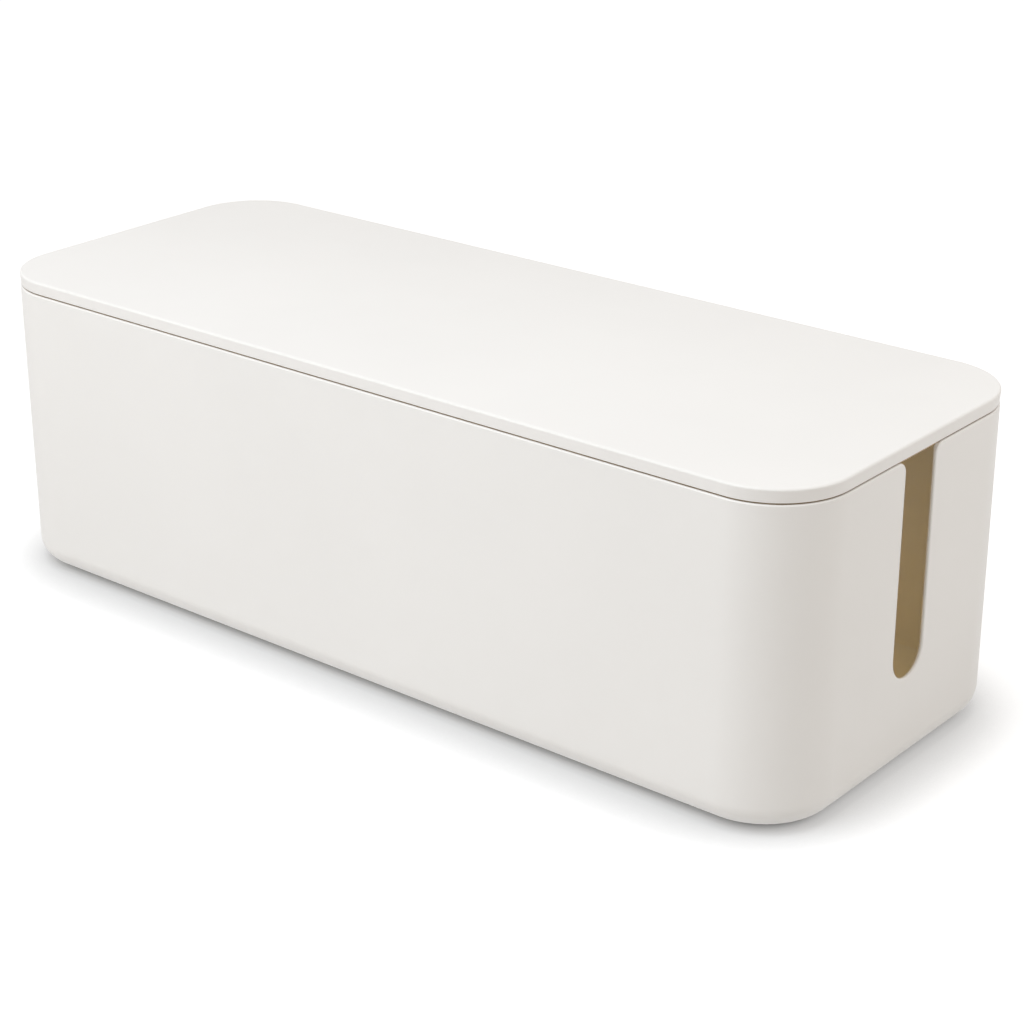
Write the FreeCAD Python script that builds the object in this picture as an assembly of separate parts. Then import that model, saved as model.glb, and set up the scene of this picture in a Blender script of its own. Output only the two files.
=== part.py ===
import FreeCAD, Part
import math
import os

# A cable management box: a deep moulded tub with a cable slot in each end wall, a thin flush lid that lies
# on its rim and lifts straight off, and four soft feet. Millimetres. The origin is on the surface that the
# box stands on, under its middle. +X runs along the box, -Y is the front and +Z is up.

# Overall sizes, with the lid on
length = 400.0
width = 154.0
height = 130.0
corner_radius = 30.0

# Tub
wall = 2.0
core_draft_deg = 0.35
floor_thick = 2.4
bottom_round = 10.0
rim_outer_round = 0.7
rim_inner_chamfer = 0.3

# Cable slots, one in the middle of each end wall
slot_width = 20.0
slot_bottom_height = 38.0
slot_mouth_round = 4.5

# Lid
lid_edge_depth = 5.4
lid_plate = 2.2
lid_top_round = 1.2
lid_low_chamfer = 0.3
shadow_gap = 0.4
seat_setback = 0.3
lip_clearance = 0.4
lip_thick = 1.6
lip_depth = 5.0
lip_lead = 0.6
lip_corner_gap = 8.0
lip_tab_gap = 14.0
lip_tab_length = 14.0

# Stiffening ribs under the lid
rib_thick = 1.2
rib_drop = 2.4
rib_spacing = 49.0

# Feet, and the recesses that hold them
foot_radius = 6.5
foot_thick = 1.8
foot_stand = 1.0
foot_sole_chamfer = 0.5
foot_side_slope = 0.3
foot_clearance = 0.25
foot_inset = 33.0

# Mark of the moulding gate under the floor
gate_radius = 5.0
gate_depth = 0.5
gate_pip_radius = 1.2
gate_pip_height = 0.3

# How far a cutting shape runs past the face that it cuts
overrun = 2.0

# Largest distance at which two places count as the same
same_place = 0.02

# Heights and insets that follow from the sizes above
body_bottom = foot_stand
floor_top = body_bottom + floor_thick
lid_low = height - lid_edge_depth
lid_under = height - lid_plate
rim = lid_low - shadow_gap
core_lean = math.tan(math.radians(core_draft_deg))
floor_inset = wall + (rim - floor_top) * core_lean
seat_inset = rim_outer_round + seat_setback
lip_inset = wall + lip_clearance
ring_inset = lip_inset + lip_thick
slot_half = slot_width / 2
slot_reach = slot_half + slot_mouth_round
UP = FreeCAD.Vector(0, 0, 1)
ALONG = FreeCAD.Vector(1, 0, 0)
ACROSS = FreeCAD.Vector(0, 1, 0)
ENDS = (-1, 1)


def closed_path(place, turns):
    """A closed wire through turns, in the plane that place(u, v) maps into space.

    A turn is a corner point (u, v) or an arc (u, v, radius, first angle, last angle) about (u, v).
    Straight lines join each turn to the next.
    """
    runs = []
    for turn in turns:
        if len(turn) == 2:
            runs.append([place(*turn)])
            continue
        u, v, radius, first, last = turn
        angles = [math.radians(a) for a in (first, (first + last) / 2, last)]
        runs.append([place(u + radius * math.cos(a), v + radius * math.sin(a)) for a in angles])
    edges = []
    for run, following in zip(runs, runs[1:] + runs[:1]):
        if len(run) == 3:
            edges.append(Part.Arc(*run).toShape())
        if run[-1].distanceToPoint(following[0]) > same_place:
            edges.append(Part.LineSegment(run[-1], following[0]).toShape())
    return Part.Wire(edges)


def corner_centres():
    """The centre of each upright corner, with the angle at which its quarter turn begins."""
    x = length / 2 - corner_radius
    y = width / 2 - corner_radius
    return [(x, y, 0), (-x, y, 90), (-x, -y, 180), (x, -y, 270)]


def outline(inset, z):
    """The box's outline seen from above, at height z and inset from its outer face."""
    radius = corner_radius - inset
    turns = [(u, v, radius, angle, angle + 90) for u, v, angle in corner_centres()]
    return closed_path(lambda u, v: FreeCAD.Vector(u, v, z), turns)


def block(inset, low, high):
    """A solid with the box's outline, inset from its outer face, between two heights."""
    return Part.Face(outline(inset, low)).extrude(UP * (high - low))


def inset_of(point):
    """How far a point lies inside the box's outer face, seen from above."""
    past_x = abs(point.x) - (length / 2 - corner_radius)
    past_y = abs(point.y) - (width / 2 - corner_radius)
    if past_x > 0 and past_y > 0:
        return corner_radius - math.hypot(past_x, past_y)
    return corner_radius - max(past_x, past_y)


def middle_of(edge):
    """The point half way along an edge."""
    return edge.valueAt((edge.FirstParameter + edge.LastParameter) / 2)


def level_edges(shape, z, inset):
    """The edges that run round the box at height z and at one inset."""
    found = []
    for edge in shape.Edges:
        points = [middle_of(edge)] + [vertex.Point for vertex in edge.Vertexes]
        if all(abs(p.z - z) < same_place and abs(inset_of(p) - inset) < same_place for p in points):
            found.append(edge)
    return found


def outer_slot_edges(shape):
    """The edges of both slots that lie in the end walls' outer faces."""
    found = []
    for edge in shape.Edges:
        middle = middle_of(edge)
        in_slot = abs(middle.y) < slot_reach and middle.z < rim - same_place
        if in_slot and abs(abs(middle.x) - length / 2) < same_place:
            found.append(edge)
    return found


def leaning_prism(axis, reach, half_run):
    """A bar along one axis whose two long sides lean out by the core's draft, from floor to above the rim."""
    low = reach - floor_inset
    high = low + (rim + overrun - floor_top) * core_lean
    turns = [(-low, floor_top), (low, floor_top), (high, rim + overrun), (-high, rim + overrun)]
    side = UP.cross(axis)
    wire = closed_path(lambda u, v: side * u + UP * v - axis * half_run, turns)
    return Part.Face(wire).extrude(axis * (2 * half_run))


def cavity():
    """The hollow of the tub: walls that lean by the core's draft, and a rounded root round the floor."""
    depth = rim + overrun - floor_top
    low_radius = corner_radius - floor_inset
    high_radius = low_radius + depth * core_lean
    core = [
        leaning_prism(ALONG, width / 2, length / 2 - corner_radius),
        leaning_prism(ACROSS, length / 2, width / 2 - corner_radius),
    ]
    for u, v, angle in corner_centres():
        corner = Part.makeCone(low_radius, high_radius, depth, FreeCAD.Vector(0, 0, 0), UP, 90)
        corner.rotate(FreeCAD.Vector(0, 0, 0), UP, angle)
        corner.translate(FreeCAD.Vector(u, v, floor_top))
        core.append(corner)
    hollow = core[0].multiFuse(core[1:]).removeSplitter()
    return hollow.makeFillet(bottom_round - wall, level_edges(hollow, floor_top, floor_inset))


def slot_cutter(end):
    """The slot in one end wall: straight sides, a full-round bottom, and a mouth rounded out into the rim."""
    x = end * (length / 2 - floor_inset - overrun)
    shoulder = rim - slot_mouth_round
    turns = [
        (-slot_reach, rim + overrun),
        (slot_reach, rim + overrun),
        (slot_reach, shoulder, slot_mouth_round, 90, 180),
        (0, slot_bottom_height + slot_half, slot_half, 0, -180),
        (-slot_reach, shoulder, slot_mouth_round, 0, 90),
    ]
    wire = closed_path(lambda u, v: FreeCAD.Vector(x, u, v), turns)
    return Part.Face(wire).extrude(ALONG * end * (floor_inset + 2 * overrun))


def foot_places():
    """The name of each foot, and the point under its middle."""
    reach_x = length / 2 - foot_inset
    reach_y = width / 2 - foot_inset
    for side_name, side in (("front", -1), ("back", 1)):
        for end_name, end in (("left", -1), ("right", 1)):
            yield "foot_" + side_name + "_" + end_name, FreeCAD.Vector(end * reach_x, side * reach_y, 0)


def gate_mark():
    """The round dimple that the moulding gate leaves under the floor, with a pip left in its middle."""
    dimple = Part.makeCylinder(gate_radius, overrun + gate_depth, UP * (body_bottom - overrun))
    pip_top = body_bottom + gate_depth
    pip = Part.makeCylinder(gate_pip_radius, gate_pip_height + overrun, UP * (pip_top - gate_pip_height))
    return dimple.cut(pip)


def box_body():
    """The tub: outer form, hollow, slots with their outer edges rounded, foot recesses and gate mark."""
    tub = block(0, body_bottom, rim)
    tub = tub.makeFillet(bottom_round, level_edges(tub, body_bottom, 0))
    tub = tub.cut(cavity())
    tub = tub.makeChamfer(rim_inner_chamfer, level_edges(tub, rim, wall))
    for end in ENDS:
        tub = tub.cut(slot_cutter(end))
    tub = tub.makeFillet(rim_outer_round, level_edges(tub, rim, 0) + outer_slot_edges(tub))
    recess_depth = foot_thick - foot_stand
    for name, place in foot_places():
        base = place + UP * (body_bottom - overrun)
        tub = tub.cut(Part.makeCylinder(foot_radius + foot_clearance, overrun + recess_depth, base))
    return tub.cut(gate_mark())


def rib_row(axis, half_run, half_span):
    """Ribs that run along one axis, evenly spaced across the span inside the lid's ring."""
    side = UP.cross(axis)
    cells = max(1, round(2 * half_span / rib_spacing))
    row = []
    for step in range(1, cells):
        offset = half_span * (2 * step / cells - 1) - rib_thick / 2
        corner = side * offset - axis * half_run + UP * (lid_under - rib_drop)
        turns = [(0, 0), (rib_thick, 0), (rib_thick, rib_drop + lid_plate / 2), (0, rib_drop + lid_plate / 2)]
        wire = closed_path(lambda u, v: corner + side * u + UP * v, turns)
        row.append(Part.Face(wire).extrude(axis * (2 * half_run)))
    return row


def rib_grid():
    """Shallow ribs both ways under the lid's plate, trimmed to run into the ring on all sides."""
    half_x = length / 2 - ring_inset
    half_y = width / 2 - ring_inset
    ribs = rib_row(ACROSS, half_y, half_x) + rib_row(ALONG, half_x, half_y)
    trim = block(ring_inset - lip_thick / 2, lid_under - rib_drop, height - lid_plate / 2)
    return ribs[0].multiFuse(ribs[1:]).common(trim)


def lip_windows():
    """Where the lip stays: along the front and back between the corners, and in a tab each side of a slot."""
    low = rim - lip_depth - overrun
    tall = height - low
    half_run = length / 2 - corner_radius - lip_corner_gap
    corner = FreeCAD.Vector(-half_run, -width / 2, low)
    windows = [Part.makeBox(2 * half_run, width, tall, corner)]
    for side in (-1, 1):
        middle = side * (slot_reach + lip_tab_gap + lip_tab_length / 2)
        corner = FreeCAD.Vector(-length / 2, middle - lip_tab_length / 2, low)
        windows.append(Part.makeBox(length, lip_tab_length, tall, corner))
    return windows[0].multiFuse(windows[1:])


def lid():
    """The lid: a flush plate with a seat stepped down onto the rim, a lip inside the walls, and ribs."""
    plate = block(0, lid_low, height)
    plate = plate.makeFillet(lid_top_round, level_edges(plate, height, 0))
    plate = plate.makeChamfer(lid_low_chamfer, level_edges(plate, lid_low, 0))
    root = lid_low + lid_plate / 2
    seat = block(seat_inset, rim, root)
    lip = block(lip_inset, rim - lip_depth, root)
    lip = lip.makeChamfer(lip_lead, level_edges(lip, rim - lip_depth, lip_inset))
    lip = lip.common(lip_windows())
    hollow = block(ring_inset, rim - lip_depth - overrun, lid_under)
    cover = plate.multiFuse([seat, lip]).cut(hollow)
    return cover.fuse(rib_grid()).removeSplitter()


def foot(place):
    """A soft round pad: flat top in its recess, sides that taper a little, and a bevelled sole edge."""
    sole_radius = foot_radius - foot_side_slope
    turns = [
        (0, 0),
        (sole_radius - foot_sole_chamfer, 0),
        (sole_radius, foot_sole_chamfer),
        (foot_radius, foot_thick),
        (0, foot_thick),
    ]
    profile = closed_path(lambda u, v: place + FreeCAD.Vector(u, 0, v), turns)
    return Part.Face(profile).revolve(place, UP, 360)


pieces = {"box_body": box_body(), "lid": lid()}
for foot_name, foot_place in foot_places():
    pieces[foot_name] = foot(foot_place)

os.makedirs("parts", exist_ok=True)
for name, shape in pieces.items():
    solids = shape.Solids
    print(name, "solids", len(solids), "valid", shape.isValid(), "volume", round(shape.Volume, 1))
    if len(solids) == 1:
        shape = solids[0]
    shape.exportStep("parts/" + name + ".step")
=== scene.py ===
import math

import bmesh
import bpy
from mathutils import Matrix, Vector


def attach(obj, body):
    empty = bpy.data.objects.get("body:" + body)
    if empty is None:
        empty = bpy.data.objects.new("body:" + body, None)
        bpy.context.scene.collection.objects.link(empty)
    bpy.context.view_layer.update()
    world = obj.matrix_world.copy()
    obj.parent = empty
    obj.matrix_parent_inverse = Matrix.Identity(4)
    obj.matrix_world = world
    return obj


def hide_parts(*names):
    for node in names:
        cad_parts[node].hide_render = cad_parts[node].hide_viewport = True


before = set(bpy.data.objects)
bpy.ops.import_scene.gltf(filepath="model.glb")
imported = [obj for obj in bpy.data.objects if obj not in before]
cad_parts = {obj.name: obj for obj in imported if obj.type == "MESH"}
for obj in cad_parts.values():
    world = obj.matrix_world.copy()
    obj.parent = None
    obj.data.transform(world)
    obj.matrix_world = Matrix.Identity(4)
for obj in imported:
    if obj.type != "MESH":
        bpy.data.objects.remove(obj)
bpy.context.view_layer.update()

# The tub. One deep moulding in warm white plastic: thin walls that lean by the core's draft, a floor with a
# rounded root, and a cable slot with a full-round bottom in each end wall. One small round runs on along the rim
# and both slots, whose inner edges are eased. Under the floor are four foot recesses and the gate's mark.
mm = 0.001
length, width, height = 400 * mm, 154 * mm, 130 * mm
corner_radius = 30 * mm
wall, core_draft = 2.0 * mm, math.tan(math.radians(0.35))
body_bottom, floor_top = 1.0 * mm, 3.4 * mm
bottom_round, root_round = 10 * mm, 8 * mm
rim, ledge, ledge_inset = 124.2 * mm, 123.7 * mm, 1.0 * mm
rim_round, rim_inner_round = 0.65 * mm, 0.5 * mm
slot_half, slot_bottom, mouth_round = 10 * mm, 38 * mm, 4.5 * mm
cut_inside, cut_run = 6 * mm, 8 * mm
edge_left, eased_from, eased_to, eased_slope, eased_spare = 1.1 * mm, 0.9 * mm, 3.6 * mm, 1.25, 0.2 * mm
foot_x, foot_y, foot_radius, foot_recess = 167 * mm, 44 * mm, 6.75 * mm, 0.8 * mm
gate_radius, gate_depth, pip_radius, pip_drop = 5 * mm, 0.5 * mm, 1.2 * mm, 0.3 * mm
near, same_point = 0.01 * mm, 0.002 * mm


def outline_points(inset, z, turns=30):
    """The box's outline seen from above, inset from its outer face: quarter turns joined by straights."""
    points = []
    radius = corner_radius - inset
    for x, y, first in ((1, -1, -90), (1, 1, 0), (-1, 1, 90), (-1, -1, 180)):
        centre = Vector((x * (length / 2 - corner_radius), y * (width / 2 - corner_radius), z))
        for step in range(turns + 1):
            a = math.radians(first + 90 * step / turns)
            points.append(centre + radius * Vector((math.cos(a), math.sin(a), 0)))
    return points


def quarter(inset, z, radius, first, last, steps):
    """Insets and heights along an arc of the wall's section. Angle 0 looks out of the box and 90 up."""
    turn = [math.radians(first + (last - first) * step / steps) for step in range(steps + 1)]
    return [(inset - radius * math.cos(a), z + radius * math.sin(a)) for a in turn]


def moulded_shell(name, section):
    """A closed mesh whose section, a list of insets and heights, runs round the box's outline."""
    bm = bmesh.new()
    rings = [[bm.verts.new(p) for p in outline_points(inset, z)] for inset, z in section]
    for low, high in zip(rings, rings[1:]):
        for i in range(len(low)):
            j = (i + 1) % len(low)
            bm.faces.new((low[i], low[j], high[j], high[i]))
    bm.faces.new(reversed(rings[0]))
    bm.faces.new(rings[-1])
    bmesh.ops.recalc_face_normals(bm, faces=bm.faces)
    mesh = bpy.data.meshes.new(name)
    bm.to_mesh(mesh)
    bm.free()
    piece = bpy.data.objects.new(name, mesh)
    bpy.context.scene.collection.objects.link(piece)
    return piece


def prism(bm, profile, place, sweep):
    """A straight bar in bm: place(u, v) puts a point of the profile in space, and sweep is its run."""
    first = [bm.verts.new(place(u, v)) for u, v in profile]
    last = [bm.verts.new(vert.co + sweep) for vert in first]
    for i in range(len(first)):
        j = (i + 1) % len(first)
        bm.faces.new((first[i], first[j], last[j], last[i]))
    bm.faces.new(reversed(first))
    bm.faces.new(last)


def combine(piece, bm, operation):
    """Cuts the bars in bm out of the piece, or joins them to it, and applies the result."""
    bmesh.ops.recalc_face_normals(bm, faces=bm.faces)
    mesh = bpy.data.meshes.new("bars")
    bm.to_mesh(mesh)
    bm.free()
    bars = bpy.data.objects.new("bars", mesh)
    bpy.context.scene.collection.objects.link(bars)
    change = piece.modifiers.new("change", "BOOLEAN")
    change.operation, change.object, change.solver = operation, bars, "EXACT"
    apply_modifiers(piece)
    bpy.data.objects.remove(bars)


def apply_modifiers(piece):
    """Turns the piece with its modifiers into a plain mesh."""
    bpy.context.view_layer.update()
    graph = bpy.context.evaluated_depsgraph_get()
    seen = piece.evaluated_get(graph)
    mesh = bpy.data.meshes.new_from_object(seen, preserve_all_data_layers=True, depsgraph=graph)
    piece.modifiers.clear()
    piece.data = mesh
    mesh.name = piece.name


def inset_of(p):
    """How far a point lies inside the box's outer face, seen from above."""
    past_x = abs(p.x) - (length / 2 - corner_radius)
    past_y = abs(p.y) - (width / 2 - corner_radius)
    if past_x > 0 and past_y > 0:
        return corner_radius - math.hypot(past_x, past_y)
    return corner_radius - max(past_x, past_y)


def round_edges(bm, chosen, radius, steps):
    """Rounds the sharp edges of bm whose two ends and middle are all chosen."""
    edges = []
    for e in bm.edges:
        if e.is_manifold and e.calc_face_angle() > math.radians(50):
            first, last = e.verts[0].co, e.verts[1].co
            if chosen(first) and chosen(last) and chosen((first + last) / 2):
                edges.append(e)
    bmesh.ops.bevel(bm, geom=edges, offset=radius, offset_type="OFFSET", segments=steps, profile=0.5,
                    affect="EDGES", clamp_overlap=False, loop_slide=True)


def finish_mesh(piece, sharp_above=35):
    """Smooth shading that keeps flat faces flat, with hard edges only where faces meet sharply."""
    bm = bmesh.new()
    bm.from_mesh(piece.data)
    bmesh.ops.remove_doubles(bm, verts=bm.verts, dist=same_point)
    bmesh.ops.recalc_face_normals(bm, faces=bm.faces)
    for face in bm.faces:
        face.smooth = True
    for edge in bm.edges:
        edge.smooth = not edge.is_manifold or edge.calc_face_angle() < math.radians(sharp_above)
    bm.to_mesh(piece.data)
    bm.free()
    flat = piece.modifiers.new("flat_faces_stay_flat", "WEIGHTED_NORMAL")
    flat.keep_sharp, flat.mode, flat.weight = True, "FACE_AREA", 50
    apply_modifiers(piece)


def core_inset(z):
    """The inset of the tub's inner wall at a height."""
    return wall + (rim - z) * core_draft


section = quarter(bottom_round, body_bottom + bottom_round, bottom_round, -90, 0, 14)
section += [(0, rim), (ledge_inset, rim), (ledge_inset + 0.1 * mm, ledge), (wall, ledge)]
root = core_inset(floor_top + root_round)
section += [(root, floor_top + root_round)]
section += quarter(root + root_round, floor_top + root_round, root_round, 0, -90, 12)[1:]
tub = moulded_shell("tub_shell", section)

cutters = bmesh.new()
shoulder = rim - mouth_round
mouth = slot_half + mouth_round
# The slot's outline: across, up, the way out of the slot, and how far the inner edge is eased there.
edge = [(-mouth, rim + 2 * mm, -1, 0, 0), (-mouth, rim, -1, 0, 0)]
for a in range(10, 91, 10):
    s, c = math.sin(math.radians(a)), math.cos(math.radians(a))
    edge.append((-mouth + mouth_round * s, shoulder + mouth_round * c, -s, -c, a / 90))
for a in range(0, 91, 6):
    s, c = math.sin(math.radians(a)), math.cos(math.radians(a))
    edge.append((-slot_half * c, slot_bottom + slot_half - slot_half * s, -c, -s, 1))
edge += [(-u, v, -out_u, out_v, share) for u, v, out_u, out_v, share in reversed(edge[:-1])]
profile = [(u, v) for u, v, *_ in edge]
for end in (-1, 1):
    place = lambda u, v: Vector((end * (length / 2 - cut_inside), u, v))
    prism(cutters, profile, place, Vector((end * cut_run, 0, 0)))
ring = [(math.cos(math.radians(a)), math.sin(math.radians(a))) for a in range(0, 360, 8)]
recesses = [(sx * foot_x, sy * foot_y, foot_radius, foot_recess) for sx in (-1, 1) for sy in (-1, 1)]
for x, y, radius, depth in recesses + [(0, 0, gate_radius, gate_depth)]:
    place = lambda u, v: Vector((x + radius * u, y + radius * v, 0))
    prism(cutters, ring, place, Vector((0, 0, body_bottom + depth)))
combine(tub, cutters, "DIFFERENCE")

eased = bmesh.new()
for end in (-1, 1):
    rings = []
    for inset in (eased_from, eased_to):
        rings.append([])
        for u, v, out_u, out_v, share in edge:
            grown = eased_slope * (inset - edge_left) * share - eased_spare * (1 - share)
            rings[-1].append(eased.verts.new((end * (length / 2 - inset), u + out_u * grown, v + out_v * grown)))
    for i in range(len(edge)):
        j = (i + 1) % len(edge)
        eased.faces.new((rings[0][i], rings[0][j], rings[1][j], rings[1][i]))
    eased.faces.new(reversed(rings[0]))
    eased.faces.new(rings[1])
combine(tub, eased, "DIFFERENCE")

pip = bmesh.new()
pip_low = body_bottom + gate_depth - pip_drop
prism(pip, ring, lambda u, v: Vector((pip_radius * u, pip_radius * v, pip_low)), Vector((0, 0, 2 * pip_drop)))
combine(tub, pip, "UNION")


def on_outer_face(p):
    """On the tub's outer wall, above the round under it."""
    return abs(inset_of(p)) < 4 * near and p.z > body_bottom + bottom_round + near


def on_inner_face(p):
    """On the tub's inner wall, well above its root."""
    return abs(inset_of(p) - core_inset(p.z)) < 5 * near and p.z > 30 * mm


bm = bmesh.new()
bm.from_mesh(tub.data)
bmesh.ops.remove_doubles(bm, verts=bm.verts, dist=same_point)
round_edges(bm, on_outer_face, rim_round, 5)
round_edges(bm, on_inner_face, rim_inner_round, 3)
bm.to_mesh(tub.data)
bm.free()
finish_mesh(tub)


def moulded_plastic(name, colour, rough):
    """Through-coloured plastic with a fine matte mould texture, polished a little along its edges, where its colour
    is also a little lighter: wear and a painted highlight.
    """
    material = bpy.data.materials.new(name)
    material.use_nodes = True
    nodes, links = material.node_tree.nodes, material.node_tree.links
    surface = nodes["Principled BSDF"]
    surface.inputs["IOR"].default_value = 1.47
    place = nodes.new("ShaderNodeTexCoord")

    def noise(scale, detail, roughness):
        node = nodes.new("ShaderNodeTexNoise")
        node.inputs["Scale"].default_value = scale
        node.inputs["Detail"].default_value = detail
        node.inputs["Roughness"].default_value = roughness
        links.new(place.outputs["Object"], node.inputs["Vector"])
        return node.outputs["Fac"]

    def span(value, low, high, to_low, to_high):
        node = nodes.new("ShaderNodeMapRange")
        links.new(value, node.inputs["Value"])
        for key, number in zip(("From Min", "From Max", "To Min", "To Max"), (low, high, to_low, to_high)):
            node.inputs[key].default_value = number
        return node.outputs["Result"]

    def mixed(share, first, second):
        node = nodes.new("ShaderNodeMix")
        node.data_type = "RGBA"
        links.new(share, node.inputs["Factor"])
        for key, value in (("A", first), ("B", second)):
            socket = next(s for s in node.inputs if s.name == key and s.type == "RGBA")
            if isinstance(value, tuple):
                socket.default_value = (*value, 1)
            else:
                links.new(value, socket)
        return next(s for s in node.outputs if s.type == "RGBA")

    flow = span(noise(9, 3, 0.5), 0.3, 0.7, 0, 1)
    shade = mixed(flow, tuple(c * 0.985 for c in colour), tuple(min(1, c * 1.012) for c in colour))
    geometry = nodes.new("ShaderNodeNewGeometry")
    edge = span(geometry.outputs["Pointiness"], 0.512, 0.545, 0, 1)
    patchy = nodes.new("ShaderNodeMath")
    patchy.operation = "MULTIPLY"
    links.new(edge, patchy.inputs[0])
    links.new(span(noise(60, 3, 0.6), 0.3, 0.65, 0.4, 1), patchy.inputs[1])
    # Convex edges get a slightly lighter colour: partly rubbed wear, partly a painted highlight along the rounds.
    wear_and_painted_highlight = tuple(min(1, c * 1.03) for c in colour)
    links.new(mixed(patchy.outputs[0], shade, wear_and_painted_highlight), surface.inputs["Base Color"])
    cloudy = span(noise(45, 2, 0.5), 0.3, 0.7, rough - 0.03, rough + 0.04)
    polish = nodes.new("ShaderNodeMath")
    polish.operation = "MULTIPLY_ADD"
    links.new(patchy.outputs[0], polish.inputs[0])
    polish.inputs[1].default_value = -0.1
    links.new(cloudy, polish.inputs[2])
    links.new(polish.outputs[0], surface.inputs["Roughness"])
    grain = nodes.new("ShaderNodeBump")
    grain.inputs["Strength"].default_value = 0.35
    grain.inputs["Distance"].default_value = 0.02 * mm
    links.new(noise(2600, 2, 0.6), grain.inputs["Height"])
    links.new(grain.outputs["Normal"], surface.inputs["Normal"])
    return material


def paint_shell(piece, is_inside, is_cut=lambda face: False):
    """Outer plastic on a shell, with a warmer copy where a face looks into the box (painted warmth for the light
    that comes through the walls) and a paler copy on cut edges (painted light on the slot's shaded cheeks).
    """
    piece.data.materials.clear()
    for plastic in (shell_plastic, inside_plastic_painted_warm, cut_edge_painted_light):
        piece.data.materials.append(plastic)
    for face in piece.data.polygons:
        face.material_index = 2 if is_cut(face) else int(is_inside(face))


def in_tub(face):
    """The tub's inner wall, down to the curve of its root."""
    middle = face.center
    return inset_of(middle) > core_inset(middle.z) - 6 * near and middle.z > floor_top + 0.8 * root_round


def slot_cut(face):
    """The faces that the slot's cut leaves across the thickness of the end wall."""
    deep = 0.3 * mm < inset_of(face.center) < core_inset(face.center.z) - 6 * near
    return deep and abs(face.center.y) < mouth + near and slot_bottom - near < face.center.z < rim - near


shell_plastic = moulded_plastic("shell_plastic_white", (0.87, 0.855, 0.835), 0.4)
# The inside copy is the same white plastic tinted warmer: painted warmth standing for the warm light that comes
# through the thin walls and lid.
inside_plastic_painted_warm = moulded_plastic("shell_plastic_inside_painted_warm", (0.88, 0.845, 0.79), 0.5)
# The cut-edge copy is the same plastic a little lighter: painted light on the slot's cheeks, which lie in shade.
cut_edge_painted_light = moulded_plastic("shell_plastic_cut_painted_light", (0.90, 0.885, 0.865), 0.4)
paint_shell(tub, in_tub, slot_cut)
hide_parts("box_body")
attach(tub, "tub")

# The feet. Four soft round pads in grey rubber, moulded with a bevelled sole and a shallow grip groove.
# Each is pressed and glued into its round recess under the floor, and stands 1 mm below it.
sole = [(2.6, 0.12), (2.9, 0), (4.1, 0), (4.4, 0.2), (4.7, 0), (5.6, 0), (5.95, 0.12)]
side_and_top = [(6.15, 0.35), (6.2, 0.5), (6.4, 1.2), (6.5, 1.6), (6.45, 1.75), (6.3, 1.8)]
bm = bmesh.new()
spin = 48
turn = [2 * math.pi * k / spin for k in range(spin)]
rows = []
for r, z in sole + side_and_top:
    rows.append([bm.verts.new((r * mm * math.cos(a), r * mm * math.sin(a), z * mm)) for a in turn])
for low, high in zip(rows, rows[1:]):
    for k in range(spin):
        bm.faces.new((low[k], low[(k + 1) % spin], high[(k + 1) % spin], high[k]))
bm.faces.new(reversed(rows[0]))
bm.faces.new(rows[-1])
bmesh.ops.recalc_face_normals(bm, faces=bm.faces)
pad = bpy.data.meshes.new("feet")
bm.to_mesh(pad)
bm.free()
feet = bpy.data.objects.new("feet", pad)
bpy.context.scene.collection.objects.link(feet)

rubber = bpy.data.materials.new("foot_rubber_grey")
rubber.use_nodes = True
nodes, links = rubber.node_tree.nodes, rubber.node_tree.links
place = nodes.new("ShaderNodeTexCoord")
speck = nodes.new("ShaderNodeTexNoise")
speck.inputs["Scale"].default_value = 900
speck.inputs["Detail"].default_value = 3
links.new(place.outputs["Object"], speck.inputs["Vector"])
tone = nodes.new("ShaderNodeValToRGB")
tone.color_ramp.elements[0].position, tone.color_ramp.elements[0].color = 0.3, (0.36, 0.355, 0.35, 1)
tone.color_ramp.elements[1].position, tone.color_ramp.elements[1].color = 0.7, (0.44, 0.435, 0.43, 1)
links.new(speck.outputs["Fac"], tone.inputs["Fac"])
links.new(tone.outputs["Color"], nodes["Principled BSDF"].inputs["Base Color"])
nodes["Principled BSDF"].inputs["Roughness"].default_value = 0.75
pimple = nodes.new("ShaderNodeBump")
pimple.inputs["Strength"].default_value = 0.4
pimple.inputs["Distance"].default_value = 0.05 * mm
links.new(speck.outputs["Fac"], pimple.inputs["Height"])
links.new(pimple.outputs["Normal"], nodes["Principled BSDF"].inputs["Normal"])

tree = bpy.data.node_groups.new("four_feet", "GeometryNodeTree")
tree.interface.new_socket("Pad", in_out="INPUT", socket_type="NodeSocketGeometry")
spread_x = tree.interface.new_socket("Spread Along", in_out="INPUT", socket_type="NodeSocketFloat")
spread_y = tree.interface.new_socket("Spread Across", in_out="INPUT", socket_type="NodeSocketFloat")
tree.interface.new_socket("Feet", in_out="OUTPUT", socket_type="NodeSocketGeometry")
into, out = tree.nodes.new("NodeGroupInput"), tree.nodes.new("NodeGroupOutput")
grid = tree.nodes.new("GeometryNodeMeshGrid")
grid.inputs["Vertices X"].default_value = 2
grid.inputs["Vertices Y"].default_value = 2
placed = tree.nodes.new("GeometryNodeInstanceOnPoints")
real = tree.nodes.new("GeometryNodeRealizeInstances")
painted = tree.nodes.new("GeometryNodeSetMaterial")
painted.inputs["Material"].default_value = rubber
tree.links.new(into.outputs["Spread Along"], grid.inputs["Size X"])
tree.links.new(into.outputs["Spread Across"], grid.inputs["Size Y"])
tree.links.new(grid.outputs["Mesh"], placed.inputs["Points"])
tree.links.new(into.outputs["Pad"], placed.inputs["Instance"])
tree.links.new(placed.outputs["Instances"], real.inputs["Geometry"])
tree.links.new(real.outputs["Geometry"], painted.inputs["Geometry"])
tree.links.new(painted.outputs["Geometry"], out.inputs["Feet"])
spreader = feet.modifiers.new("four_feet", "NODES")
spreader.node_group = tree
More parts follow.
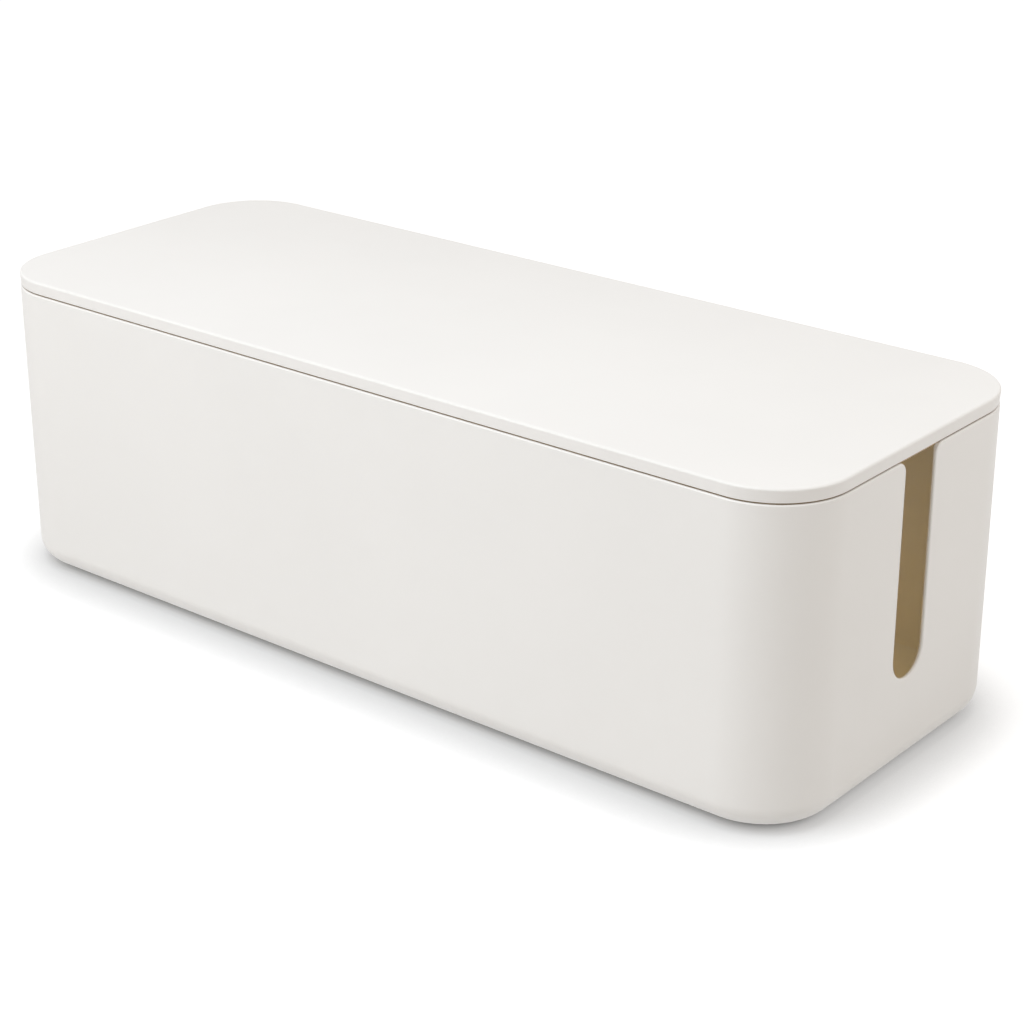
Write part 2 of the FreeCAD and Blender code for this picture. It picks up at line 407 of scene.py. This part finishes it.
spreader[spread_x.identifier] = 2 * foot_x
spreader[spread_y.identifier] = 2 * foot_y
apply_modifiers(feet)
finish_mesh(feet, 60)
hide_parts("foot_front_left", "foot_front_right", "foot_back_left", "foot_back_right")
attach(feet, "tub")

# The lid. A thin moulded plate, flush with the tub all round, with a softly rounded top edge. Its seat is
# stepped down onto the rim, which leaves a fine shadow line, and straight lips below it keep the lid in place.
lid_low, seat_inset, lip_inset, ring_inset = 124.75 * mm, 1.4 * mm, 2.4 * mm, 4.0 * mm
lid_under = height - 2.2 * mm
top_round, low_round, hollow_round, edge_lean = 0.95 * mm, 0.3 * mm, 0.8 * mm, 0.3 * mm
lip_top, lip_bottom, lip_lead, lip_back = rim + 1.5 * mm, rim - 5.0 * mm, 0.6 * mm, 0.2 * mm
lip_run = length / 2 - corner_radius - 8 * mm
tab_first, tab_last = 28.5 * mm, 42.5 * mm

section = [(hollow_round + ring_inset, lid_under)]
section += [(ring_inset, lid_under - hollow_round), (ring_inset, ledge), (seat_inset, ledge), (seat_inset, lid_low)]
section += quarter(low_round + edge_lean, lid_low + low_round, low_round, -90, 0, 3)
section += quarter(top_round, height - top_round, top_round, 0, 90, 8)
lid = moulded_shell("lid_shell", section)

bars = bmesh.new()
lip = [(lip_inset, lip_top), (lip_inset, lip_bottom + lip_lead)]
lip += [(lip_inset + 0.15 * mm, lip_bottom + 0.3 * lip_lead), (lip_inset + lip_lead, lip_bottom)]
lip += [(ring_inset - lip_back, lip_bottom), (ring_inset, lip_bottom + lip_back), (ring_inset, lip_top)]
for side in (-1, 1):
    place = lambda u, v: Vector((-lip_run, side * (width / 2 - u), v))
    prism(bars, lip, place, Vector((2 * lip_run, 0, 0)))
    for end in (-1, 1):
        place = lambda u, v: Vector((end * (length / 2 - u), side * tab_first, v))
        prism(bars, lip, place, Vector((0, side * (tab_last - tab_first), 0)))
combine(lid, bars, "UNION")
finish_mesh(lid)
# The faces in the gap between lid and rim get a dark brown plastic: painted shade that deepens the seam's shadow
# line.
seam_painted_shade = moulded_plastic("shell_plastic_seam_painted_shade", (0.46, 0.34, 0.2), 0.6)
paint_shell(lid, lambda face: face.center.z < lid_under + near and inset_of(face.center) > ring_inset - near)
lid.data.materials.append(seam_painted_shade)
for face in lid.data.polygons:
    in_gap = ledge - near < face.center.z < lid_low + near
    if in_gap and low_round + edge_lean - near < inset_of(face.center) < lip_inset:
        face.material_index = 3
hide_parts("lid")
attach(lid, "cover")

# The lid's ribs. Shallow stiffening ribs both ways, moulded in one with the plate's underside. Each tapers
# towards its free edge, so that the lid comes out of the mould.
rib_root, rib_tip, rib_drop, rib_bite = 1.35 * mm, 1.05 * mm, 2.4 * mm, 0.2 * mm

tree = bpy.data.node_groups.new("rib_grid", "GeometryNodeTree")
wanted = {
    "Ribs Across": 7,
    "Ribs Along": 2,
    "Inside Length": length - 2 * ring_inset + 2 * rib_bite,
    "Inside Width": width - 2 * ring_inset + 2 * rib_bite,
    "Root": rib_root,
    "Tip": rib_tip,
    "Drop": rib_drop,
    "Under Plate": lid_under,
}
sockets = {}
for label, value in wanted.items():
    kind = "NodeSocketInt" if isinstance(value, int) else "NodeSocketFloat"
    sockets[label] = tree.interface.new_socket(label, in_out="INPUT", socket_type=kind).identifier
tree.interface.new_socket("Ribs", in_out="OUTPUT", socket_type="NodeSocketGeometry")
into, out = tree.nodes.new("NodeGroupInput"), tree.nodes.new("NodeGroupOutput")


def sum_of(operation, first, second, third=None):
    """The result of a maths node in the tree, from numbers or from other nodes."""
    node = tree.nodes.new("ShaderNodeMath")
    node.operation = operation
    for socket, value in zip(node.inputs, (first, second, third)):
        if isinstance(value, (int, float)):
            socket.default_value = value
        elif value is not None:
            tree.links.new(value, socket)
    return node.outputs[0]


def vector_of(x=0.0, y=0.0, z=0.0):
    """A vector in the tree, from numbers or from other nodes."""
    node = tree.nodes.new("ShaderNodeCombineXYZ")
    for socket, value in zip(node.inputs, (x, y, z)):
        if isinstance(value, (int, float)):
            socket.default_value = value
        else:
            tree.links.new(value, socket)
    return node.outputs[0]


def row_of_ribs(count, span, run, along, drop):
    """Evenly spaced ribs across one span: a line of points, a tapering bar on each."""
    step = sum_of("DIVIDE", span, sum_of("ADD", count, 1))
    first = sum_of("MULTIPLY_ADD", span, -0.5, step)
    points = tree.nodes.new("GeometryNodeMeshLine")
    tree.links.new(count, points.inputs["Count"])
    half = sum_of("MULTIPLY", run, 0.5)
    minus = sum_of("MULTIPLY", run, -0.5)
    line = tree.nodes.new("GeometryNodeCurvePrimitiveLine")
    middle = sum_of("MULTIPLY_ADD", drop, -0.5, sum_of("ADD", into.outputs["Under Plate"], rib_bite))
    if along:
        tree.links.new(vector_of(y=first, z=middle), points.inputs["Start Location"])
        tree.links.new(vector_of(y=step), points.inputs["Offset"])
        tree.links.new(vector_of(x=minus), line.inputs["Start"])
        tree.links.new(vector_of(x=half), line.inputs["End"])
    else:
        tree.links.new(vector_of(x=first, z=middle), points.inputs["Start Location"])
        tree.links.new(vector_of(x=step), points.inputs["Offset"])
        tree.links.new(vector_of(y=minus), line.inputs["Start"])
        tree.links.new(vector_of(y=half), line.inputs["End"])
    bar = tree.nodes.new("GeometryNodeCurvePrimitiveQuadrilateral")
    bar.mode = "TRAPEZOID"
    tree.links.new(into.outputs["Root"], bar.inputs["Bottom Width"])
    tree.links.new(into.outputs["Tip"], bar.inputs["Top Width"])
    tree.links.new(sum_of("ADD", drop, 2 * rib_bite), bar.inputs["Height"])
    bar.inputs["Offset"].default_value = 0
    tapered = tree.nodes.new("GeometryNodeCurveToMesh")
    tapered.inputs["Fill Caps"].default_value = True
    tree.links.new(line.outputs["Curve"], tapered.inputs["Curve"])
    tree.links.new(bar.outputs["Curve"], tapered.inputs["Profile Curve"])
    placed = tree.nodes.new("GeometryNodeInstanceOnPoints")
    tree.links.new(points.outputs["Mesh"], placed.inputs["Points"])
    tree.links.new(tapered.outputs["Mesh"], placed.inputs["Instance"])
    return placed.outputs["Instances"]


inside_length, inside_width, drop = (into.outputs[label] for label in ("Inside Length", "Inside Width", "Drop"))
across = row_of_ribs(into.outputs["Ribs Across"], inside_length, inside_width, False, drop)
lower_drop = sum_of("SUBTRACT", drop, 0.1 * mm)
along = row_of_ribs(into.outputs["Ribs Along"], inside_width, inside_length, True, lower_drop)
both = tree.nodes.new("GeometryNodeJoinGeometry")
real = tree.nodes.new("GeometryNodeRealizeInstances")
painted = tree.nodes.new("GeometryNodeSetMaterial")
painted.inputs["Material"].default_value = inside_plastic_painted_warm
tree.links.new(across, both.inputs["Geometry"])
tree.links.new(along, both.inputs["Geometry"])
tree.links.new(both.outputs["Geometry"], real.inputs["Geometry"])
tree.links.new(real.outputs["Geometry"], painted.inputs["Geometry"])
tree.links.new(painted.outputs["Geometry"], out.inputs["Ribs"])

ribs = bpy.data.objects.new("lid_ribs", bpy.data.meshes.new("lid_ribs"))
bpy.context.scene.collection.objects.link(ribs)
grid_of_ribs = ribs.modifiers.new("rib_grid", "NODES")
grid_of_ribs.node_group = tree
for label, value in wanted.items():
    grid_of_ribs[sockets[label]] = value
apply_modifiers(ribs)
finish_mesh(ribs)
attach(ribs, "cover")

# The studio. A plain pale floor that runs out to a white background, soft lamps above in front, in front to the
# left and at the right, and a weak even light all round. Two small lamps in the box stand for the light that
# comes warm through the lid and walls, and for the daylight that comes in at the slot.
floor = bpy.data.meshes.new("floor")
floor.from_pydata([(-9, -9, 0), (9, -9, 0), (9, 9, 0), (-9, 9, 0)], [], [(0, 1, 2, 3)])
floor = bpy.data.objects.new("floor", floor)
bpy.context.scene.collection.objects.link(floor)
paper = bpy.data.materials.new("paper")
paper.use_nodes = True
nodes, links = paper.node_tree.nodes, paper.node_tree.links
paper_face = nodes["Principled BSDF"]
paper_face.inputs["Base Color"].default_value = (0.66, 0.655, 0.645, 1)
paper_face.inputs["Roughness"].default_value = 0.9
paper_face.inputs["Specular IOR Level"].default_value = 0.1


def contact_shade(reach, samples, *steps):
    """A grey that darkens the paper where something stands within reach, by steps of openness and grey."""
    open_share = nodes.new("ShaderNodeAmbientOcclusion")
    open_share.samples = samples
    open_share.inputs["Distance"].default_value = reach
    grey = nodes.new("ShaderNodeValToRGB")
    grey.color_ramp.elements[0].color = (*[steps[0][1]] * 3, 1)
    for openness, tone in steps[1:]:
        grey.color_ramp.elements.new(openness).color = (tone, tone, tone, 1)
    links.new(open_share.outputs["AO"], grey.inputs["Fac"])
    return grey.outputs["Color"]


soft_steps = (0, 0.4), (0.25, 0.42), (0.45, 0.455), (0.55, 0.55), (0.67, 0.66), (0.83, 0.9), (0.95, 1)
line_steps = (0, 0.1), (0.12, 0.3), (0.16, 0.55), (0.26, 0.75), (0.36, 0.87), (0.55, 0.97), (0.7, 1)
shade = nodes.new("ShaderNodeVectorMath")
shade.operation = "MULTIPLY"
links.new(contact_shade(40 * mm, 16, *soft_steps), shade.inputs[0])
links.new(contact_shade(4 * mm, 16, *line_steps), shade.inputs[1])
lit = nodes.new("ShaderNodeBsdfDiffuse")
lit.inputs["Color"].default_value = (1, 1, 1, 1)
glow = nodes.new("ShaderNodeEmission")
lift = nodes.new("ShaderNodeMixShader")
lift.inputs["Fac"].default_value = 0.65
paths = nodes.new("ShaderNodeLightPath")
shown = nodes.new("ShaderNodeMixShader")
links.new(shade.outputs["Vector"], glow.inputs["Color"])
glow.inputs["Strength"].default_value = 1.29
links.new(lit.outputs["BSDF"], lift.inputs[1])
links.new(glow.outputs["Emission"], lift.inputs[2])
mirrored = nodes.new("ShaderNodeMath")
mirrored.operation = "MAXIMUM"
links.new(paths.outputs["Is Glossy Ray"], mirrored.inputs[0])
links.new(paths.outputs["Is Transmission Ray"], mirrored.inputs[1])
bright = nodes.new("ShaderNodeEmission")
reflected = nodes.new("ShaderNodeMixShader")
links.new(mirrored.outputs[0], reflected.inputs["Fac"])
links.new(paper_face.outputs["BSDF"], reflected.inputs[1])
links.new(bright.outputs["Emission"], reflected.inputs[2])
links.new(paths.outputs["Is Camera Ray"], shown.inputs["Fac"])
links.new(reflected.outputs["Shader"], shown.inputs[1])
links.new(lift.outputs["Shader"], shown.inputs[2])
links.new(shown.outputs["Shader"], nodes["Material Output"].inputs["Surface"])
floor.data.materials.append(paper)

world = bpy.data.worlds.new("studio_air")
bpy.context.scene.world = world
world.use_nodes = True
nodes, links = world.node_tree.nodes, world.node_tree.links
air = nodes["Background"]
air.inputs["Color"].default_value = (1.0, 0.94, 0.872, 1)
air.inputs["Strength"].default_value = 0.6
white = nodes.new("ShaderNodeBackground")
white.inputs["Color"].default_value = (1, 1, 1, 1)
white.inputs["Strength"].default_value = 1.0
paths = nodes.new("ShaderNodeLightPath")
sees = nodes.new("ShaderNodeMath")
sees.operation = "MAXIMUM"
sees_too = nodes.new("ShaderNodeMath")
sees_too.operation = "MAXIMUM"
links.new(paths.outputs["Is Camera Ray"], sees.inputs[0])
links.new(paths.outputs["Is Glossy Ray"], sees.inputs[1])
links.new(sees.outputs[0], sees_too.inputs[0])
links.new(paths.outputs["Is Transmission Ray"], sees_too.inputs[1])
background = nodes.new("ShaderNodeMixShader")
links.new(sees_too.outputs[0], background.inputs["Fac"])
links.new(air.outputs["Background"], background.inputs[1])
links.new(white.outputs["Background"], background.inputs[2])
links.new(background.outputs["Shader"], nodes["World Output"].inputs["Surface"])


def soft_lamp(name, azimuth, elevation, distance, size, watts, colour=(1, 1, 1)):
    """A square softbox that looks at the middle of the box. Azimuth 0 is in front and 90 to the right."""
    lamp = bpy.data.lights.new(name, "AREA")
    lamp.shape, lamp.size, lamp.energy, lamp.color = "SQUARE", size, watts, colour
    holder = bpy.data.objects.new(name, lamp)
    a, e = math.radians(azimuth), math.radians(elevation)
    away = Vector((math.sin(a) * math.cos(e), -math.cos(a) * math.cos(e), math.sin(e)))
    holder.location = Vector((0, 0, height / 2)) + away * distance
    holder.rotation_euler = away.to_track_quat("Z", "Y").to_euler()
    holder.visible_camera = False
    bpy.context.scene.collection.objects.link(holder)


soft_lamp("lamp_above_front", -10, 60, 0.9, 0.5, 3.8, (0.84, 0.92, 1.0))
soft_lamp("lamp_front_left", -20, 15, 1.0, 0.5, 1.4)
soft_lamp("lamp_right", 105, 28, 0.6, 0.35, 0.45)

through = bpy.data.lights.new("light_through_lid", "AREA")
through.shape, through.size, through.size_y = "RECTANGLE", 340 * mm, 110 * mm
through.energy, through.color, through.spread = 0.054, (1, 0.70, 0.262), math.radians(60)
glowing = bpy.data.objects.new("light_through_lid", through)
glowing.location = (0, 0, 124 * mm)
glowing.visible_camera, glowing.visible_glossy = False, False
bpy.context.scene.collection.objects.link(glowing)

daylight = bpy.data.lights.new("light_through_slot", "AREA")
daylight.shape, daylight.size, daylight.size_y = "RECTANGLE", 18 * mm, 70 * mm
daylight.energy = 0.0038
entering = bpy.data.objects.new("light_through_slot", daylight)
entering.location = (length / 2 - 8 * mm, 0, 70 * mm)
entering.rotation_euler = Vector((1, 0, 0)).to_track_quat("Z", "Y").to_euler()
entering.visible_camera, entering.visible_glossy = False, False
bpy.context.scene.collection.objects.link(entering)

# The camera. A long lens from in front of the right corner and a little above, at the photograph's angle.
view_azimuth, view_elevation, view_distance = math.radians(39.27), math.radians(22.89), 0.96422
aim = Vector((0.0174, 0.0007, 0.05296))
photo_width, focal_pixels, sensor = 1024, 2416.18, 36.0
level = math.cos(view_elevation)
away = Vector((math.sin(view_azimuth) * level, -math.cos(view_azimuth) * level, math.sin(view_elevation)))
camera = bpy.data.objects.new("camera", bpy.data.cameras.new("camera"))
camera.data.sensor_width = sensor
camera.data.lens = focal_pixels / photo_width * sensor
camera.data.clip_start, camera.data.clip_end = 0.05, 60
camera.location = aim + away * view_distance
camera.rotation_euler = away.to_track_quat("Z", "Y").to_euler()
bpy.context.scene.collection.objects.link(camera)
bpy.context.scene.camera = camera
bpy.context.scene.view_settings.view_transform = "Standard"
